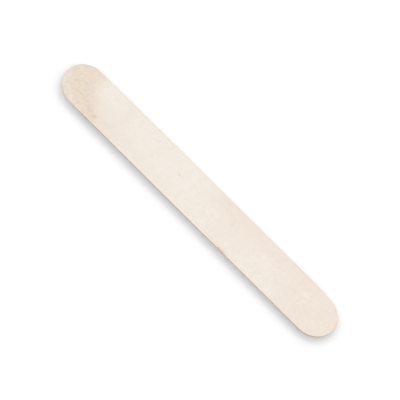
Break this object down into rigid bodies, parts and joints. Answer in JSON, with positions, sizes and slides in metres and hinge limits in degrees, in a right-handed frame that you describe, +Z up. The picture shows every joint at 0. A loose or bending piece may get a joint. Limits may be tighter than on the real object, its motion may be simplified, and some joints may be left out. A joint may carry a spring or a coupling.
{
  "type": "tongue depressor",
  "caption": "Flat wooden tongue depressor: a thin birch blade with straight parallel sides, rounded ends and tumbled edges.",
  "frame": {"origin": "middle of the flat underside that the blade lies on", "axes": "+X along the blade, from its tan end to its plain end; +Y across the blade; +Z up, through its thickness"},
  "size_m": [0.15, 0.018, 0.0016],
  "materials": {
    "birch": "satin"
  },
  "bodies": {
    "root": {"blade": "birch"}
  },
  "joints": []
}
